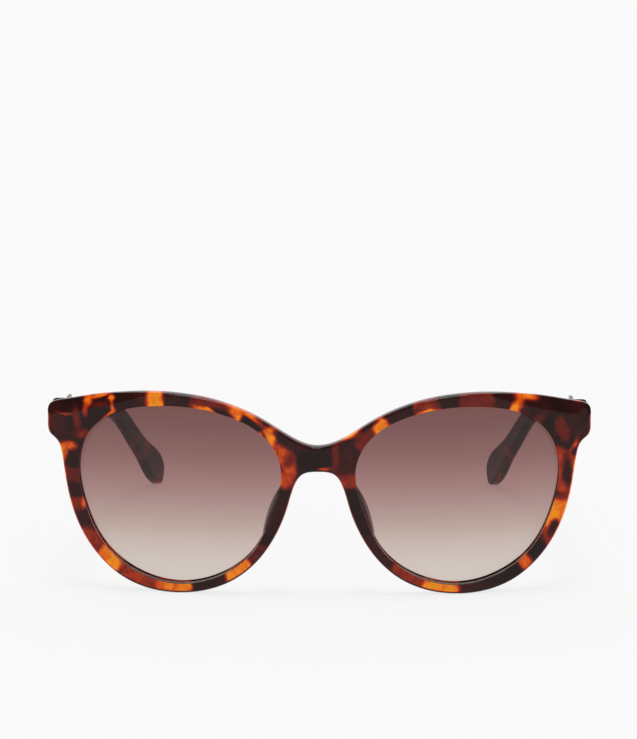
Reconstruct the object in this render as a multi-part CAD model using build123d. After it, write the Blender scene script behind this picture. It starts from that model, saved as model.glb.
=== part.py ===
from build123d import *
import os
from math import cos, radians, sin, sqrt

# Cat eye sunglasses, open, standing on the two rims and the two temple tips.
# Millimetres. +Z is up, the front faces -Y, and the wearer's left is +X.
# The model is drawn with the bridge's front at y = 0 and is moved back by ORIGIN_Y when written.
# Each left piece is drawn once and mirrored for the right.

# ---- driving dimensions ----
ORIGIN_Y = 70.0  # half of the whole depth, bridge front to temple tips
HALF_WIDTH = 71.0
FRONT_RADIUS = 230.0  # wrap of the front's outer face, about a vertical axis
FRONT_THICKNESS = 4.2
EDGE_ROUND = 0.9
SHORT_EDGE = 60.0  # edges of the front that are longer are rounded; those of its bosses are shorter
HIGH = 60.0  # taller than the object, for cutting solids
DRAWN_Y = -3.0  # flat outlines are drawn here, ahead of the front
EXTRUDED = 26.0  # and are extruded back by this, past the end pieces

# Half outline of the front from the middle of the brow to the middle of the nose arch, as (x, z).
BROW = [(0, 39.5), (5.2, 40.8), (10.3, 43.8), (15.5, 46.9), (20.7, 49.25), (28.4, 51.6),
        (36.2, 52.7), (43.0, 52.95), (51.0, 52.45), (60.0, 51.2), (66.5, 49.85)]
END_PIECE = [(69.6, 49.1), (70.7, 48.3), (71.0, 46.8), (71.0, 44.5), (70.95, 42.2), (70.4, 40.85),
             (69.1, 39.7)]
RIM = [(68.0, 38.2), (67.3, 35.5), (66.4, 29.2), (65.1, 22.8), (62.4, 15.7), (57.6, 8.7),
       (50.6, 3.1), (43.6, 0.6), (36.5, 0), (29.5, 0.9), (22.2, 3.8), (15.6, 9.3), (11.0, 16.1),
       (8.0, 23.4), (6.2, 29.2), (4.2, 32.1), (0, 32.9)]
# Lens opening, clockwise from the bridge side.
OPENING = [(9.6, 32.5), (11.5, 38.9), (16.1, 43.8), (24.0, 47.5), (33.5, 49.4), (43.5, 49.4),
           (52.6, 47.5), (59.6, 42.2), (62.7, 33.0), (60.9, 21.8), (55.9, 11.8), (47.3, 5.1),
           (36.5, 2.5), (26.3, 4.7), (17.6, 10.9), (12.3, 20.6)]

# Lens: a spherical shell held in a groove of the rim.
LENS_MIDDLE = (36.0, 26.5)
LENS_RADIUS = 160.0
LENS_THICKNESS = 1.6
LENS_DEPTH = 0.3  # of its middle, behind the front's face
GROOVE_DEPTH = 0.7
GROOVE_GAP = 0.05

# End piece: a boss behind the front that carries the hinge.
BOSS_X = 62.6
BOSS_BOTTOM = 40.5
BOSS_REAR = 17.3
BOSS_TOP = (62.6, 49.6)  # the boss's top passes through this (x, z), below the brow's rear edge
BOSS_TOP_FALL = 12.5  # degrees that the top falls towards the outside
BOSS_ROUND = 1.6
BUTT_X = 66.75  # the temple butts on the part outside this
BUTT_REAR = 19.0
FACET_TOP = 49.2
FACET_WIDTH = 3.2
FACET_DEPTH = 2.0
FACET_END = (44.0, 52.4)
FACET_BLANK = (60.0, 40.0, 20.0)  # block whose underside planes the facet

# Hinge: five barrels on one vertical axis, three of them on the front.
HINGE_X = 65.0
HINGE_Y = 19.0
HINGE_Z = 45.0
BARREL_RADIUS = 1.3
BARREL_HEIGHT = 1.12
BARREL_PITCH = 1.22
PLATE_HEIGHT = 6.4
PLATE_THICKNESS = 0.8
PLATE_ROUND = 0.8
NECK_WIDTH = 2.2  # of the webs that join the barrels to their plate
FRONT_PLATE = (63.3, 66.5)  # from and to, in x
TEMPLE_PLATE = (20.4, 29.0)  # from and to, in y
TEMPLE_NECK = (19.2, 21.6)  # from and to, in y
SCREW_RADIUS = 0.55
SCREW_HOLE = 0.62
SCREW_HEAD_RADIUS = 1.15
SCREW_HEAD_HEIGHT = 0.6
SCREW_HEAD_BEVEL = 0.2
SCREW_SLOT = (0.35, 0.3)  # width and depth

# Temple: a flat arm that slopes down a little, bends, and ends in a paddle.
TEMPLE_FRONT = 19.1
TEMPLE_INNER = 66.6
ARM_SLOPE = 9.5  # degrees below the horizontal
EAR_SLOPE = 39.0
BEND_START = 96.0
BEND_RADIUS = 35.0
EAR_LENGTH = 35.6  # from the end of the bend to the tip
ARM_STATIONS = (0.12, 0.28, 0.45, 0.6, 0.7, 0.8, 0.88)  # its outline's points, as shares of its length
ARM_HEIGHT = [(0, 7.6), (25, 6.9), (60, 5.6), (85, 5.2), (107, 5.8), (121, 7.4), (130, 8.3)]
ARM_MIDDLE = [(TEMPLE_FRONT, 68.6), (45, 68.1), (72, 66.8), (98, 64.2), (118, 59.2), (143, 51.0)]
ARM_THICKNESS = [(TEMPLE_FRONT, 4.0), (45, 3.7), (72, 3.1), (98, 2.9), (118, 3.2), (143, 3.8)]
ARM_ROUND = 1.1
ARM_SHEET = (40.0, 80.0)  # from and to, in x, of the sheet that it is cut from
# Paddle end as (distance short of the tip, share of the half height above the middle line).
PADDLE_END = [(6.5, 1.0), (2.2, 0.62), (0.3, -0.1), (0.2, -0.75), (2.5, -1.0)]
CORE_RADIUS = 0.6
CORE_RUNS = [0.4, 45, 80, 100, 118]  # corners of the wire inside, as distances along the temple
CORE_BENDS = [150, 60, 40]

# Nose pad: an elliptic section that narrows up and down, behind the nasal side of the rim.
PAD_MIDDLE = (10.9, 4.6, 21.5)
PAD_SECTION = (1.5, 5.4)
PAD_HALF_HEIGHT = 8.6
PAD_TAPER = 0.45
PAD_SPLAY = -16.0
PAD_LEAN = -21.0


def at(points, y=0.0):
    """Points of the front's elevation as 3-D vectors."""
    return [Vector(x, y, z) for x, z in points]


def between(table, at_value):
    """Straight-line value of a table of (place, value) pairs."""
    for (a, value_a), (b, value_b) in zip(table, table[1:]):
        if at_value <= b:
            return value_a + (value_b - value_a) * (at_value - a) / (b - a)
    return table[-1][1]


def face_depth(x):
    """How far the wrap takes the front's face back at x."""
    return FRONT_RADIUS - sqrt(FRONT_RADIUS**2 - x**2)


# ---- front ----
def front_outline():
    """Face of the whole front in elevation."""
    half = BROW + END_PIECE + RIM
    other = [(-x, z) for x, z in half[-2:0:-1]]
    return make_face([Spline(*at(half + other, DRAWN_Y), periodic=True)])


def opening_face(grow=0.0):
    """Face of the left lens opening in elevation, with each point moved out from its middle."""
    middle = Vector(LENS_MIDDLE[0], DRAWN_Y, LENS_MIDDLE[1])
    points = [p + (p - middle).normalized() * grow for p in at(OPENING, DRAWN_Y)]
    return make_face([Spline(*points, periodic=True)])


def wrap_cylinder(radius):
    return Pos(0, FRONT_RADIUS, HIGH / 2) * Cylinder(radius, 2 * HIGH)


def end_boss():
    """Block that fills the end piece behind the front's sheet, to the wearer's left."""
    height = HIGH - BOSS_BOTTOM
    middle_z = BOSS_BOTTOM + height / 2
    wide = HALF_WIDTH + 2 - BOSS_X
    boss = Pos(BOSS_X + wide / 2, BOSS_REAR / 2, middle_z) * Box(wide, BOSS_REAR, height)
    boss = fillet(boss.edges().filter_by(Axis.Y).group_by(Axis.X)[0].group_by(Axis.Z)[0], BOSS_ROUND)
    butt_wide = HALF_WIDTH + 2 - BUTT_X
    butt = Pos(BUTT_X + butt_wide / 2, BUTT_REAR / 2, middle_z) * Box(butt_wide, BUTT_REAR, height)
    tilt = Pos(BOSS_TOP[0], 0, BOSS_TOP[1]) * Rotation(0, BOSS_TOP_FALL, 0)
    above = tilt * Pos(0, 0, HIGH) * Box(2 * HIGH, 2 * HIGH, 2 * HIGH)
    return boss + butt - above


def facet_cutter():
    """Prism that planes the upper front edge off, from the left end piece inwards."""
    low = Vector(HALF_WIDTH, face_depth(HALF_WIDTH), FACET_TOP - FACET_WIDTH)
    high = Vector(HALF_WIDTH, low.Y + FACET_DEPTH, FACET_TOP)
    end = Vector(FACET_END[0], face_depth(FACET_END[0]), FACET_END[1])
    along = (end - low).normalized()
    outward = (high - low).cross(along).normalized()
    plane = Plane(origin=(low + end) / 2, x_dir=along, z_dir=outward)
    return plane * (Pos(0, 0, FACET_BLANK[2] / 2) * Box(*FACET_BLANK))


def both_sides(solid):
    return solid + solid.mirror(Plane.YZ)


def long_edges(solid, radius):
    """Edges that lie on a wrapped face of this radius, without those of the end pieces' bosses."""
    def on_face(edge):
        gaps = [abs(sqrt(p.X**2 + (p.Y - FRONT_RADIUS)**2) - radius)
                for p in (edge @ 0.1, edge @ 0.5, edge @ 0.9)]
        return max(gaps) < 0.01 and edge.length > SHORT_EDGE
    return solid.edges().filter_by(on_face)


def lens_shell(grow, gap):
    """Left lens, or with a gap the space that its groove takes."""
    x, z = LENS_MIDDLE
    out = Vector(x, -sqrt(FRONT_RADIUS**2 - x**2), 0).normalized()
    centre = Vector(x, face_depth(x), z) - out * (LENS_RADIUS + LENS_DEPTH)
    place = Pos(centre.X, centre.Y, centre.Z)
    blank = extrude(opening_face(grow), amount=EXTRUDED, dir=(0, 1, 0))
    domed = blank & (place * Sphere(LENS_RADIUS + gap))
    return (domed - place * Sphere(LENS_RADIUS - LENS_THICKNESS - gap)).solid()


def make_front():
    """Both rims, the bridge and the end pieces as one piece, with the seats for lenses and hinges."""
    front = extrude(front_outline(), amount=EXTRUDED, dir=(0, 1, 0)) & wrap_cylinder(FRONT_RADIUS)
    hollow = wrap_cylinder(FRONT_RADIUS - FRONT_THICKNESS) - both_sides(end_boss())
    front = (front - hollow).solid()
    for radius in (FRONT_RADIUS, FRONT_RADIUS - FRONT_THICKNESS):
        front = fillet(long_edges(front, radius), EDGE_ROUND).solid()
    opening = extrude(opening_face(), amount=EXTRUDED, dir=(0, 1, 0))
    groove = lens_shell(GROOVE_DEPTH + GROOVE_GAP, GROOVE_GAP)
    for cutter in (opening, groove, facet_cutter(), front_plate()):
        front = (front - cutter).solid()
        front = (front - cutter.mirror(Plane.YZ)).solid()
    return front


# ---- hinge ----
def barrels(rows, hole):
    """Hinge barrels at these places up the axis, counted from the middle one."""
    barrel = Cylinder(BARREL_RADIUS, BARREL_HEIGHT)
    made = [Pos(HINGE_X, HINGE_Y, HINGE_Z + row * BARREL_PITCH) * barrel for row in rows]
    return made, Pos(HINGE_X, HINGE_Y, HINGE_Z) * Cylinder(hole, 4 * PLATE_HEIGHT)


def box_between(low, high):
    low, high = Vector(low), Vector(high)
    size = high - low
    middle = (low + high) / 2
    return Pos(middle.X, middle.Y, middle.Z) * Box(size.X, size.Y, size.Z)


def front_plate():
    """Plate of the front's leaf, let in flush with the back of the end piece."""
    low = (FRONT_PLATE[0], BOSS_REAR - PLATE_THICKNESS, HINGE_Z - PLATE_HEIGHT / 2)
    high = (FRONT_PLATE[1], BOSS_REAR, HINGE_Z + PLATE_HEIGHT / 2)
    plate = box_between(low, high)
    return fillet(plate.edges().filter_by(Axis.Y), PLATE_ROUND)


def make_front_hinge():
    made, bore = barrels((-2, 0, 2), SCREW_RADIUS)
    leaf = front_plate()
    for barrel, row in zip(made, (-2, 0, 2)):
        z = HINGE_Z + row * BARREL_PITCH
        low = (HINGE_X - NECK_WIDTH / 2, BOSS_REAR - PLATE_THICKNESS, z - BARREL_HEIGHT / 2)
        neck = box_between(low, (HINGE_X + NECK_WIDTH / 2, HINGE_Y, z + BARREL_HEIGHT / 2))
        leaf = leaf + neck + barrel
    return leaf - bore


def temple_plate():
    """Plate of the temple's leaf, let in flush with the inner side of the temple."""
    low = (TEMPLE_INNER, TEMPLE_PLATE[0], HINGE_Z - PLATE_HEIGHT / 2)
    high = (TEMPLE_INNER + PLATE_THICKNESS, TEMPLE_PLATE[1], HINGE_Z + PLATE_HEIGHT / 2)
    plate = box_between(low, high)
    return fillet(plate.edges().filter_by(Axis.X), PLATE_ROUND)


def make_temple_hinge():
    made, bore = barrels((-1, 1), SCREW_HOLE)
    leaf = temple_plate()
    for barrel, row in zip(made, (-1, 1)):
        z = HINGE_Z + row * BARREL_PITCH
        low = (HINGE_X, TEMPLE_NECK[0], z - BARREL_HEIGHT / 2)
        high = (TEMPLE_INNER + PLATE_THICKNESS, TEMPLE_NECK[1], z + BARREL_HEIGHT / 2)
        neck = box_between(low, high)
        leaf = leaf + neck + barrel
    return leaf - bore


def make_screw():
    """Slotted screw, put in from above, whose shank is the hinge's pin."""
    top = HINGE_Z + 2 * BARREL_PITCH + BARREL_HEIGHT / 2
    bottom = HINGE_Z - 2 * BARREL_PITCH - BARREL_HEIGHT / 2
    shank = Pos(HINGE_X, HINGE_Y, (top + bottom) / 2) * Cylinder(SCREW_RADIUS, top - bottom)
    head = Cylinder(SCREW_HEAD_RADIUS, SCREW_HEAD_HEIGHT)
    head = Pos(HINGE_X, HINGE_Y, top + SCREW_HEAD_HEIGHT / 2) * head
    head = chamfer(head.edges().group_by(Axis.Z)[-1], SCREW_HEAD_BEVEL)
    slot = Box(4 * SCREW_HEAD_RADIUS, SCREW_SLOT[0], 2 * SCREW_SLOT[1])
    slot = Pos(HINGE_X, HINGE_Y, top + SCREW_HEAD_HEIGHT) * slot
    return shank + (head - slot)


# ---- temple ----
def arm_line(run):
    """Point (y, z) on the temple's middle line and its slope, a run back from the hinge."""
    flat = (BEND_START - TEMPLE_FRONT) / cos(radians(ARM_SLOPE))
    turn = radians(EAR_SLOPE - ARM_SLOPE)
    y, z, slope = TEMPLE_FRONT, HINGE_Z, radians(ARM_SLOPE)
    straight = min(run, flat)
    y += straight * cos(slope)
    z -= straight * sin(slope)
    turned = min(max(run - flat, 0) / BEND_RADIUS, turn)
    y += BEND_RADIUS * (sin(slope + turned) - sin(slope))
    z -= BEND_RADIUS * (cos(slope) - cos(slope + turned))
    slope += turned
    rest = max(run - flat - BEND_RADIUS * turn, 0)
    return y + rest * cos(slope), z - rest * sin(slope), slope


def arm_length():
    flat = (BEND_START - TEMPLE_FRONT) / cos(radians(ARM_SLOPE))
    return flat + BEND_RADIUS * radians(EAR_SLOPE - ARM_SLOPE) + EAR_LENGTH


def beside(run, up):
    """Point of the side view, up from the middle line at this run."""
    y, z, slope = arm_line(run)
    return Vector(0, y + up * sin(slope), z + up * cos(slope))


def arm_side_face():
    """Face of the temple in side view, with its rounded paddle end."""
    whole = arm_length()
    runs = [-1.0] + [whole * share for share in ARM_STATIONS]
    upper = [beside(run, between(ARM_HEIGHT, run) / 2) for run in runs]
    lower = [beside(run, -between(ARM_HEIGHT, run) / 2) for run in runs]
    half = between(ARM_HEIGHT, whole) / 2
    tip = [beside(whole - back, half * up) for back, up in PADDLE_END]
    edge = Spline(*upper, *tip, *lower[::-1])
    return make_face([edge, Line(edge @ 1, edge @ 0)])


def arm_plan_face():
    """Face of the temple seen from above, which narrows and curves in towards the tip."""
    inner = [Vector(x - between(ARM_THICKNESS, y) / 2, y, 0) for y, x in ARM_MIDDLE]
    outer = [Vector(x + between(ARM_THICKNESS, y) / 2, y, 0) for y, x in ARM_MIDDLE]
    sides = [Spline(*inner), Spline(*outer)]
    ends = [Line(inner[0], outer[0]), Line(inner[-1], outer[-1])]
    return make_face(sides + ends)


def make_core():
    """Wire inside the temple, from its front end to the middle of the ear piece."""
    points = []
    for run in CORE_RUNS:
        y, z, _ = arm_line(run)
        points.append(Vector(between(ARM_MIDDLE, y), y, z))
    path = FilletPolyline(*points, radius=CORE_BENDS)
    return sweep(Plane(origin=path @ 0, z_dir=path % 0) * Circle(CORE_RADIUS), path=path)


def make_temple():
    """Temple cut from sheet to its side view and its plan, with rounded edges behind its front end."""
    sheet = ARM_SHEET[1] - ARM_SHEET[0]
    side = extrude(Pos(ARM_SHEET[0], 0, 0) * arm_side_face(), amount=sheet, dir=(1, 0, 0))
    plan = extrude(arm_plan_face(), amount=HIGH, dir=(0, 0, 1))
    blank = (side & plan).solid()
    rear_edges = blank.edges().filter_by(lambda edge: edge.bounding_box().max.Y > TEMPLE_FRONT + 1)
    return fillet(rear_edges, ARM_ROUND)


# ---- nose pad ----
def make_pad():
    """Saddle pad bonded to the back of the rim: a loft of three ellipses, cut to the rim's back."""
    foot = Ellipse(PAD_SECTION[0], PAD_SECTION[1])
    low = Pos(0, 0, -PAD_HALF_HEIGHT) * scale(foot, by=PAD_TAPER)
    high = Pos(0, 0, PAD_HALF_HEIGHT) * scale(foot, by=PAD_TAPER)
    pad = loft([low, foot, high])
    pad = Pos(*PAD_MIDDLE) * Rotation(0, PAD_LEAN, 0) * Rotation(0, 0, PAD_SPLAY) * pad
    return (pad & wrap_cylinder(FRONT_RADIUS - FRONT_THICKNESS)).solid()


def make_left_parts():
    """Every left piece by its name."""
    temple_hinge = make_temple_hinge()
    core = make_core()
    return {
        "lens": lens_shell(GROOVE_DEPTH, 0.0),
        "nose_pad": make_pad(),
        "temple": (make_temple() - temple_hinge - core).solid(),
        "core_wire": core,
        "front_hinge": make_front_hinge(),
        "temple_hinge": temple_hinge,
        "hinge_screw": make_screw(),
    }


def write(shape, name):
    print(name, "valid" if shape.is_valid else "INVALID", "solids", len(shape.solids()))
    export_step(Pos(0, -ORIGIN_Y, 0) * shape, f"parts/{name}.step")


if __name__ == "__main__":
    os.makedirs("parts", exist_ok=True)
    write(make_front(), "front_frame")
    for name, solid in make_left_parts().items():
        write(solid, name + "_left")
        write(solid.mirror(Plane.YZ), name + "_right")
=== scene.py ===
"""Looks of the cat eye sunglasses: tortoiseshell acetate, gradient lenses and hinges, in a pale studio.

Lengths are in millimetres times MM, in the row frame: +Z up, the front faces -Y, wearer's left is +X.
"""

import math

import bpy
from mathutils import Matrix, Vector

MM = 0.001
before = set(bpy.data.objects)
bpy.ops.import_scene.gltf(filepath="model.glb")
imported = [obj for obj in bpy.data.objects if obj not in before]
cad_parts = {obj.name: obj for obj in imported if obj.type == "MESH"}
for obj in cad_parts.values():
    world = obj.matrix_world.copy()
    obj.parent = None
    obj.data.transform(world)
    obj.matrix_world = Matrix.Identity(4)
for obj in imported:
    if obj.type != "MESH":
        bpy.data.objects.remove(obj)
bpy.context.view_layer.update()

# ---- the view ----
TARGET = Vector((0, -65, 26)) * MM  # middle of the front
DISTANCE = 650 * MM
ELEVATION = math.radians(12.5)
YAW = math.radians(0.9)
AIM_ABOVE = math.radians(2.87)  # the object sits low in the picture
SENSOR = 36
FOCAL_LENGTH = 121.6

# ---- the studio ----
FLOOR_RADIUS = 30.0
FLOOR_SIDES = 96
FLOOR_WHITE = 0.9
FLOOR_LIGHT = 0.96  # the floor is lit paper, so that shadows on it stay pale
FLOOR_LIGHT_SHARE = 0.82
WORLD_STRENGTH = 1.06
SUN_STRENGTH = 1.15
SUN_SPREAD = math.radians(20)
# The room is unlit ahead of the object, between two heights; each limit fades over a range.
DARK_LIGHT = 0.3
DARK_AHEAD = (0.1, -0.25)
DARK_BOTTOM = (math.sin(math.radians(30)) - 0.08, math.sin(math.radians(30)) + 0.08)
DARK_TOP = (math.sin(math.radians(72)) + 0.03, math.sin(math.radians(72)) - 0.03)

# ---- tortoiseshell ----
# Tones run from 0, nearly black, through red to 1, amber.
SHELL_TONES = [
    (0.00, (0.013, 0.003, 0.003)),
    (0.20, (0.040, 0.005, 0.004)),
    (0.40, (0.170, 0.010, 0.004)),
    (0.60, (0.450, 0.034, 0.004)),
    (0.80, (0.800, 0.115, 0.004)),
    (1.00, (1.000, 0.310, 0.005)),
]
# Middle line of each rim: an ellipse, given for the wearer's left.
RIM_MIDDLE = (36.2, 26.3)
RIM_HALVES = (27.8, 24.8)
BAND_ACROSS = 4.6  # reaches past both edges of a rim
# Bands that cross the right (-1) and the left (1) rim, as (from, to, tone). From and to are degrees round
# the rim's middle, anticlockwise from +X as seen from ahead.
BANDS = {
    -1: [
        (60, 84, 0.42),
        (6, 36, 0.66),
        (232, 266, 0.54),
        (204, 240, 0.48),
        (312, 326, 0.3),
        (186, 194, 0.42),
        (165, 175, 0.33),
        (97, 106, 1.0),
        (55, 62, 0.9),
        (31, 43, 1.0),
        (297, 313, 0.95),
        (257, 277, 0.88),
        (221, 235, 1.0),
    ],
    1: [
        (137, 152, 0.4),
        (100, 115, 0.45),
        (70, 90, 0.38),
        (43, 49, 0.3),
        (326, 360, 0.48),
        (-1, 27, 0.6),
        (228, 256, 0.5),
        (206, 232, 0.2),
        (166, 174, 0.5),
        (130, 139, 0.9),
        (56, 62, 0.97),
        (334, 354, 0.96),
        (306, 314, 0.8),
        (252, 272, 0.95),
    ],
}
# Single marks, as (x, z, half length, half width, tilt in degrees, tone).
MARKS = [
    (-60.3, 50.3, 1.3, 1.0, 90, 0.97),
    (-60.5, 48.2, 1.8, 0.7, 84, 0.6),
    (-54.0, 50.8, 1.0, 0.8, 10, 0.88),
    (-53.6, 48.2, 2.4, 0.6, 98, 0.82),
    (-54.6, 46.2, 2.4, 0.7, 40, 0.72),
    (-57.2, 51.7, 3.8, 0.45, 8, 0.84),
    (-66.3, 50.7, 4.0, 0.5, 14, 0.86),
    (-57.0, 49.4, 2.2, 0.8, 0, 0.34),
    (-63.2, 45.2, 3.6, 1.1, 96, 0.38),
    (-66.0, 46.4, 2.4, 0.3, -6, 0.5),
    (-61.8, 41.4, 1.9, 1.0, 24, 0.44),
    (-65.9, 38.2, 2.6, 1.3, 8, 0.8),
    (-66.6, 36.4, 2.8, 1.1, 72, 0.8),
    (-29.2, 48.9, 3.2, 0.5, -14, 1.0),
    (-24.6, 47.9, 2.5, 0.8, -26, 0.04),
    (-19.5, 48.2, 6.5, 0.7, -29, 0.86),
    (-8.8, 42.4, 3.0, 0.8, -30, 0.1),
    (-7.0, 36.4, 2.2, 1.2, 80, 0.4),
    (-11.7, 38.4, 5.2, 0.7, -62, 0.04),
    (-61.4, 22.4, 1.5, 0.7, 100, 0.85),
    (4.3, 36.8, 3.6, 1.0, 84, 0.4),
    (1.5, 33.7, 1.8, 0.35, 4, 0.7),
    (8.6, 42.5, 2.8, 0.7, 34, 1.0),
    (13.0, 45.0, 2.6, 0.8, 34, 0.1),
    (28.0, 48.7, 2.6, 0.5, 14, 0.95),
    (54.4, 51.7, 2.8, 0.8, -10, 0.92),
    (65.2, 50.4, 3.4, 0.45, -16, 0.92),
    (63.4, 42.6, 3.4, 1.9, 110, 0.36),
    (66.6, 38.6, 2.2, 0.6, 62, 0.62),
    (64.9, 31.8, 4.2, 1.3, 95, 0.16),
    (61.4, 16.4, 2.2, 1.3, 62, 0.16),
]
# How far outlines wander and the scale of the noise that moves them, from coarse to fine.
WARPS = [(3.0 * MM, 90.0), (1.2 * MM, 300.0), (0.3 * MM, 1000.0)]
SOFT_EDGE = 0.75  # blur of a patch's outline
MOST_BLUR = 0.75  # of a patch's half width
NOISE_SPAN = (0.3, 0.7)  # what most of a noise's values lie between
CLOUDS = {"scale": 420.0, "detail": 3.0, "distortion": 0.6}
CLOUD_TONES = (0.84, 1.12)  # the tone is multiplied by these
DRIFT = {"scale": 90.0, "detail": 2.0, "distortion": 0.4}
DRIFT_SPAN = (0.42, 0.68)
DARK_TONES = (0.02, 0.22)  # of the dark ground
# What the random patches of the temples and pads add to the dark ground, as (noise from, to, tone added).
BLOTCH_DETAIL = {"detail": 1.5, "distortion": 0.8}
RED_BLOTCH = (0.54, 0.62, 0.28)
AMBER_BLOTCH = (0.68, 0.76, 0.4)
# Painted light and shade in the front's rounded edges.
SIDE_GLOW = 0.45
EDGE_GLOW = (0.2, 0.6)  # added to the tone, and added per unit of it
WALL_SHADE = 0.1
UNDER_SHADE = 0.25
# Its surface.
SHELL_IOR = 1.5
SHELL_SHINE = 0.2
SHELL_ROUGHNESS = (0.07, 0.13)
POLISH = {"scale": 260.0, "detail": 3.0}
WAVES = {"scale": 90.0, "detail": 1.0}
WAVE_BUMP = (0.06, 0.2 * MM)  # strength and height
SCATTER = 0.35
SCATTER_REACH = (1.0, 0.35, 0.1)
SCATTER_DEPTH = 1.2 * MM

# ---- lenses ----
# What one face of the lens lets through, by height above the floor.
LENS_TINT = [
    (3, (0.835, 0.784, 0.748)),
    (8, (0.814, 0.761, 0.727)),
    (13.5, (0.776, 0.702, 0.667)),
    (18.5, (0.713, 0.617, 0.586)),
    (24, (0.652, 0.526, 0.509)),
    (29, (0.601, 0.452, 0.438)),
    (37, (0.504, 0.354, 0.343)),
    (45, (0.441, 0.297, 0.290)),
    (51, (0.438, 0.260, 0.249)),
]
LENS_ROUGHNESS = 0.02
LENS_SHINE = (0.025, 0.7)  # what a lens face mirrors, head on and edge on
SHINE_POWER = 5.0

# ---- metal ----
# Each metal's colour, roughness, and how fast its brushing varies along x, y and z.
HINGE_METAL = ((0.20, 0.185, 0.175), 0.25, (900, 900, 9000))
SCREW_METAL = ((0.17, 0.155, 0.145), 0.2, (4000, 4000, 1200))
WIRE_METAL = ((0.66, 0.66, 0.64), 0.22, (6000, 300, 6000))
BRUSH_SHADE = 0.8
BRUSH_ROUGHNESS = 0.12
BRUSH_BUMP = (0.25, 0.02 * MM)

# ---- edges of the front ----
WELD_DISTANCE = 0.002 * MM
BEVEL_LIMIT = 0.45 * MM  # never reached: the mesh's narrow triangles clamp the bevel to about 0.004 mm
BEVEL_STEPS = 3
SHARP_ANGLE = math.radians(50)


class Nodes:
    """The node tree of a material or a world, built from the inputs on."""

    def __init__(self, owner):
        self.owner = owner
        owner.use_nodes = True
        self.tree = owner.node_tree
        self.tree.nodes.clear()
        coordinates = self.tree.nodes.new("ShaderNodeTexCoord")
        self.place = coordinates.outputs["Object"]
        self.facing = coordinates.outputs["Normal"]
        self.direction = coordinates.outputs["Generated"]

    def add(self, kind, inputs=None, **settings):
        node = self.tree.nodes.new(kind)
        for key, value in settings.items():
            setattr(node, key, value)
        for key, value in (inputs or {}).items():
            if isinstance(value, bpy.types.NodeSocket):
                self.tree.links.new(value, node.inputs[key])
            else:
                node.inputs[key].default_value = value
        return node

    def split(self, value):
        """Outputs X, Y and Z of a vector."""
        return self.add("ShaderNodeSeparateXYZ", {0: value}).outputs

    def math(self, operation, *values):
        return self.add("ShaderNodeMath", dict(enumerate(values)), operation=operation).outputs[0]

    def vector(self, operation, *values):
        return self.add("ShaderNodeVectorMath", dict(enumerate(values)), operation=operation).outputs[0]

    def noise(self, place, scale, detail=2.0, distortion=0.0):
        return self.add(
            "ShaderNodeTexNoise",
            {"Vector": place, "Scale": scale, "Detail": detail, "Distortion": distortion},
        )

    def remap(self, value, low, high, to_low=0.0, to_high=1.0, smooth=True):
        kind = "SMOOTHSTEP" if smooth else "LINEAR"
        inputs = {"Value": value, 1: low, 2: high, 3: to_low, 4: to_high}
        return self.add("ShaderNodeMapRange", inputs, interpolation_type=kind).outputs[0]

    def mix(self, share, a, b):
        return self.add("ShaderNodeMix", {0: share, 2: a, 3: b}, data_type="FLOAT").outputs[0]

    def ramp(self, value, stops):
        node = self.add("ShaderNodeValToRGB", {"Fac": value})
        elements = node.color_ramp.elements
        for place, _ in stops[1:-1]:
            elements.new(place)
        for element, (place, colour) in zip(elements, stops):
            element.position = place
            element.color = (*colour, 1.0)
        return node.outputs["Color"]

    def wander(self, place, reach, scale):
        """place moved by up to half of reach each way, by noise."""
        shift = self.vector("SUBTRACT", self.noise(place, scale).outputs["Color"], (0.5, 0.5, 0.5))
        moved = self.add("ShaderNodeVectorMath", {0: shift, "Scale": reach}, operation="SCALE").outputs[0]
        return self.vector("ADD", place, moved)

    def bump(self, height, strength, distance):
        inputs = {"Strength": strength, "Distance": distance, "Height": height}
        return self.add("ShaderNodeBump", inputs).outputs[0]

    def finish(self, shader):
        """Ends a material's tree in this shader, and gives the material."""
        output = self.add("ShaderNodeOutputMaterial", {"Surface": shader})
        output.is_active_output = True
        return self.owner


def material_nodes(name):
    return Nodes(bpy.data.materials.new(name))


# ---- tortoiseshell ----
def band_mark(side, start, end, tone):
    """The mark that covers a rim from one clock angle to another."""
    middle = math.radians((start + end) / 2)
    along = Vector((-RIM_HALVES[0] * math.sin(middle), RIM_HALVES[1] * math.cos(middle)))
    half_length = along.length * math.radians(end - start) / 2
    x = side * RIM_MIDDLE[0] + RIM_HALVES[0] * math.cos(middle)
    z = RIM_MIDDLE[1] + RIM_HALVES[1] * math.sin(middle)
    return x, z, half_length, BAND_ACROSS, math.degrees(math.atan2(along.y, along.x)), tone


def paint(nodes, place, tone, mark):
    """tone with one soft-edged elliptical mark laid over it."""
    x, z, half_length, half_width, tilt, mark_tone = mark
    local = nodes.add(
        "ShaderNodeMapping",
        {
            "Vector": place,
            "Location": (x * MM, 0, z * MM),
            "Rotation": (0, -math.radians(tilt), 0),
            "Scale": (half_length * MM, 1, half_width * MM),
        },
        vector_type="TEXTURE",
    ).outputs[0]
    away = nodes.add("ShaderNodeVectorMath", {0: local}, operation="LENGTH").outputs["Value"]
    blur = min(SOFT_EDGE / min(half_length, half_width), MOST_BLUR)
    return nodes.mix(nodes.remap(away, 1 + blur, 1 - blur), tone, mark_tone)


def side_glow(nodes):
    """Painted light: extra tone of the rounded edges at the front's sides, as if lit through the acetate.
    """
    side_on = nodes.math("ABSOLUTE", nodes.split(nodes.facing)["X"])
    edge = nodes.remap(side_on, 0.4, 0.75, 0.0, SIDE_GLOW)
    not_flat = nodes.remap(side_on, 0.99, 0.93)
    return nodes.math("MULTIPLY", edge, not_flat)


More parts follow.
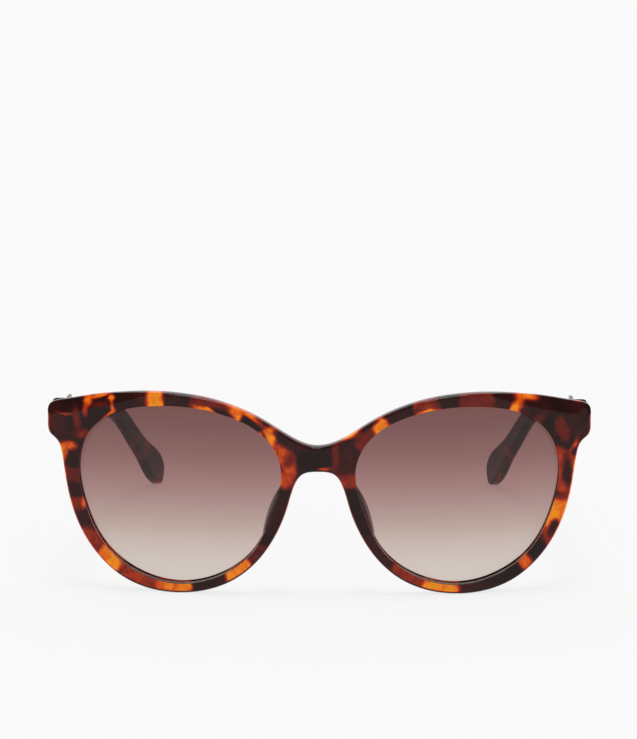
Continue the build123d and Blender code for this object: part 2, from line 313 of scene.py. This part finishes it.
def inwardness(nodes):
    """How squarely a point of the front faces the middle of its lens opening, from -1 to 1."""
    place = nodes.split(nodes.place)
    facing = nodes.split(nodes.facing)
    across = nodes.math("SUBTRACT", nodes.math("ABSOLUTE", place["X"]), RIM_MIDDLE[0] * MM)
    up = nodes.math("SUBTRACT", place["Z"], RIM_MIDDLE[1] * MM)
    away = nodes.add("ShaderNodeCombineXYZ", {0: across, 2: up}).outputs[0]
    outward = nodes.split(nodes.vector("NORMALIZE", away))
    facing_x = nodes.math("MULTIPLY", facing["X"], nodes.math("SIGN", place["X"]))
    along_x = nodes.math("MULTIPLY", outward["X"], facing_x)
    along_z = nodes.math("MULTIPLY", outward["Z"], facing["Z"])
    return nodes.math("MULTIPLY", nodes.math("ADD", along_x, along_z), -1.0)


def rim_light(nodes, tone):
    """tone with painted light on a lens opening's rounded edge, painted shade on its wall and under the
    rims.
    """
    inward = inwardness(nodes)
    down = nodes.math("MULTIPLY", nodes.split(nodes.facing)["Z"], -1.0)
    rounded = nodes.math("MULTIPLY", nodes.remap(inward, 0.2, 0.5), nodes.remap(inward, 0.97, 0.85))
    wall = nodes.remap(inward, 0.86, 0.98, 1.0, WALL_SHADE)
    outside = nodes.remap(inward, -0.1, -0.4)
    under = nodes.mix(nodes.math("MULTIPLY", outside, nodes.remap(down, 0.05, 0.6)), 1.0, UNDER_SHADE)
    glow = nodes.math("ADD", EDGE_GLOW[0], nodes.math("MULTIPLY", tone, EDGE_GLOW[1]))
    lit = nodes.math("ADD", tone, nodes.math("MULTIPLY", rounded, glow))
    return nodes.math("MULTIPLY", nodes.math("MULTIPLY", lit, wall), under)


def acetate(nodes, tone):
    """Polished acetate of this tone, with faint clouds in it."""
    clouds = nodes.noise(nodes.place, **CLOUDS).outputs["Fac"]
    tone = nodes.math("MULTIPLY", tone, nodes.remap(clouds, *NOISE_SPAN, *CLOUD_TONES))
    polish = nodes.noise(nodes.place, **POLISH).outputs["Fac"]
    waves = nodes.noise(nodes.place, **WAVES).outputs["Fac"]
    shader = nodes.add(
        "ShaderNodeBsdfPrincipled",
        {
            "Base Color": nodes.ramp(tone, SHELL_TONES),
            "Roughness": nodes.remap(polish, *NOISE_SPAN, *SHELL_ROUGHNESS),
            "IOR": SHELL_IOR,
            "Specular IOR Level": SHELL_SHINE,
            "Subsurface Weight": SCATTER,
            "Subsurface Radius": SCATTER_REACH,
            "Subsurface Scale": SCATTER_DEPTH,
            "Normal": nodes.bump(waves, *WAVE_BUMP),
        },
    )
    return nodes.finish(shader.outputs[0])


def cloudy_dark(nodes):
    """Tone of the dark ground, which drifts between black and brown."""
    drift = nodes.noise(nodes.place, **DRIFT).outputs["Fac"]
    return nodes.remap(drift, *DRIFT_SPAN, *DARK_TONES)


def front_shell():
    """Tortoiseshell of the front, with each band and mark in its place, and painted light and shade on
    its edges.
    """
    nodes = material_nodes("tortoiseshell_front")
    place = nodes.place
    for reach, scale in WARPS:
        place = nodes.wander(place, reach, scale)
    bands = [band_mark(side, *band) for side, rim_bands in BANDS.items() for band in rim_bands]
    tone = cloudy_dark(nodes)
    for mark in bands + MARKS:
        tone = paint(nodes, place, tone, mark)
    return acetate(nodes, nodes.math("ADD", rim_light(nodes, tone), side_glow(nodes)))


def plain_shell(name, stretch, scale):
    """Tortoiseshell whose patches fall by chance, drawn out along the piece."""
    nodes = material_nodes(name)
    drawn = nodes.vector("MULTIPLY", nodes.place, stretch)
    place = nodes.wander(drawn, *WARPS[1])
    blotch = nodes.noise(place, scale, **BLOTCH_DETAIL).outputs["Fac"]
    tone = cloudy_dark(nodes)
    for low, high, added in (RED_BLOTCH, AMBER_BLOTCH):
        tone = nodes.math("ADD", tone, nodes.remap(blotch, low, high, 0.0, added))
    return acetate(nodes, tone)


# ---- lenses ----
def tinted_lens():
    """Tinted glass whose tint fades towards the bottom, and which mirrors more the more edge on it is."""
    nodes = material_nodes("gradient_lens")
    height = nodes.split(nodes.place)["Z"]
    low, high = LENS_TINT[0][0], LENS_TINT[-1][0]
    share = nodes.remap(height, low * MM, high * MM, smooth=False)
    tint = nodes.ramp(share, [((z - low) / (high - low), colour) for z, colour in LENS_TINT])
    clear = nodes.add("ShaderNodeBsdfTransparent", {"Color": tint})
    gloss = nodes.add("ShaderNodeBsdfGlossy", {"Color": (1, 1, 1, 1), "Roughness": LENS_ROUGHNESS})
    edge_on = nodes.add("ShaderNodeLayerWeight", {"Blend": 0.5}).outputs["Facing"]
    steep = nodes.math("POWER", edge_on, SHINE_POWER)
    mirror = nodes.remap(steep, 0.0, 1.0, *LENS_SHINE, smooth=False)
    both = nodes.add("ShaderNodeMixShader", {0: mirror, 1: clear.outputs[0], 2: gloss.outputs[0]})
    return nodes.finish(both.outputs[0])


# ---- metal ----
def brushed_metal(name, colour, roughness, grain):
    """Satin metal; grain is how fast its brushing varies along x, y and z."""
    nodes = material_nodes(name)
    lines = nodes.vector("MULTIPLY", nodes.place, grain)
    brushing = nodes.noise(lines, 1.0, detail=3.0).outputs["Fac"]
    dull = tuple(BRUSH_SHADE * c for c in colour)
    shader = nodes.add(
        "ShaderNodeBsdfPrincipled",
        {
            "Base Color": nodes.ramp(brushing, [(NOISE_SPAN[0], dull), (NOISE_SPAN[1], colour)]),
            "Metallic": 1.0,
            "Roughness": nodes.remap(brushing, *NOISE_SPAN, roughness, roughness + BRUSH_ROUGHNESS),
            "Normal": nodes.bump(brushing, *BRUSH_BUMP),
        },
    )
    return nodes.finish(shader.outputs[0])


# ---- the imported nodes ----
def even_shading():
    """Evens the front's shading at its sharp edges; the clamped bevel doesn't visibly round them."""
    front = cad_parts["front_frame"]
    weld = front.modifiers.new("weld", "WELD")
    weld.merge_threshold = WELD_DISTANCE
    bevel = front.modifiers.new("ease", "BEVEL")
    bevel.width = BEVEL_LIMIT
    bevel.segments = BEVEL_STEPS
    bevel.limit_method = "ANGLE"
    bevel.angle_limit = SHARP_ANGLE
    bevel.harden_normals = True


def coat_nodes():
    """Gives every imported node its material."""
    hinge = brushed_metal("satin_hinge", *HINGE_METAL)
    finishes = {
        "front_frame": front_shell(),
        "temple": plain_shell("tortoiseshell_arm", (1.4, 0.55, 1.0), 120.0),
        "nose_pad": plain_shell("tortoiseshell_pad", (1.0, 1.0, 1.0), 160.0),
        "lens": tinted_lens(),
        "front_hinge": hinge,
        "temple_hinge": hinge,
        "hinge_screw": brushed_metal("turned_screw", *SCREW_METAL),
        "core_wire": brushed_metal("drawn_wire", *WIRE_METAL),
    }
    for name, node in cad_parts.items():
        finish = finishes[name.replace("_left", "").replace("_right", "")]
        node.material_slots[0].material = finish


# ---- studio ----
def make_floor():
    bpy.ops.mesh.primitive_circle_add(vertices=FLOOR_SIDES, radius=FLOOR_RADIUS, fill_type="NGON")
    floor = bpy.context.object
    floor.name = "studio_floor"
    nodes = material_nodes("studio_white")
    white = (FLOOR_WHITE, FLOOR_WHITE, FLOOR_WHITE, 1)
    paper = nodes.add("ShaderNodeBsdfDiffuse", {"Color": white})
    light = nodes.add("ShaderNodeEmission", {"Strength": FLOOR_LIGHT})
    inputs = {0: FLOOR_LIGHT_SHARE, 1: paper.outputs[0], 2: light.outputs[0]}
    both = nodes.add("ShaderNodeMixShader", inputs)
    floor.data.materials.append(nodes.finish(both.outputs[0]))


def make_world():
    """White room that is unlit high in front of the object."""
    world = bpy.data.worlds.new("studio")
    bpy.context.scene.world = world
    nodes = Nodes(world)
    direction = nodes.split(nodes.direction)
    ahead = nodes.remap(direction["Y"], *DARK_AHEAD)
    above = nodes.remap(direction["Z"], *DARK_BOTTOM)
    below = nodes.remap(direction["Z"], *DARK_TOP)
    dark = nodes.math("MULTIPLY", ahead, nodes.math("MULTIPLY", above, below))
    strength = nodes.mix(dark, WORLD_STRENGTH, DARK_LIGHT)
    background = nodes.add("ShaderNodeBackground", {"Strength": strength})
    nodes.add("ShaderNodeOutputWorld", {0: background.outputs[0]})


def make_lamp():
    """Softbox straight above."""
    lamp = bpy.data.lights.new("overhead_softbox", "SUN")
    lamp.energy = SUN_STRENGTH
    lamp.angle = SUN_SPREAD
    holder = bpy.data.objects.new("overhead_softbox", lamp)
    bpy.context.scene.collection.objects.link(holder)


def make_camera():
    """Camera ahead of and above the front, aimed over it."""
    flat = DISTANCE * math.cos(ELEVATION)
    camera = bpy.data.objects.new("camera", bpy.data.cameras.new("camera"))
    bpy.context.scene.collection.objects.link(camera)
    back = Vector((flat * math.sin(YAW), -flat * math.cos(YAW), DISTANCE * math.sin(ELEVATION)))
    camera.location = TARGET + back
    rise = DISTANCE * math.sin(ELEVATION - AIM_ABOVE)
    reach = DISTANCE * math.cos(ELEVATION - AIM_ABOVE)
    aim = Vector((-reach * math.sin(YAW), reach * math.cos(YAW), -rise))
    camera.rotation_euler = aim.to_track_quat("-Z", "Y").to_euler()
    camera.data.lens = FOCAL_LENGTH
    camera.data.sensor_width = SENSOR
    camera.data.clip_end = 2 * FLOOR_RADIUS
    bpy.context.scene.camera = camera


coat_nodes()
even_shading()
make_floor()
make_world()
make_lamp()
make_camera()
bpy.context.scene.view_settings.view_transform = "Standard"
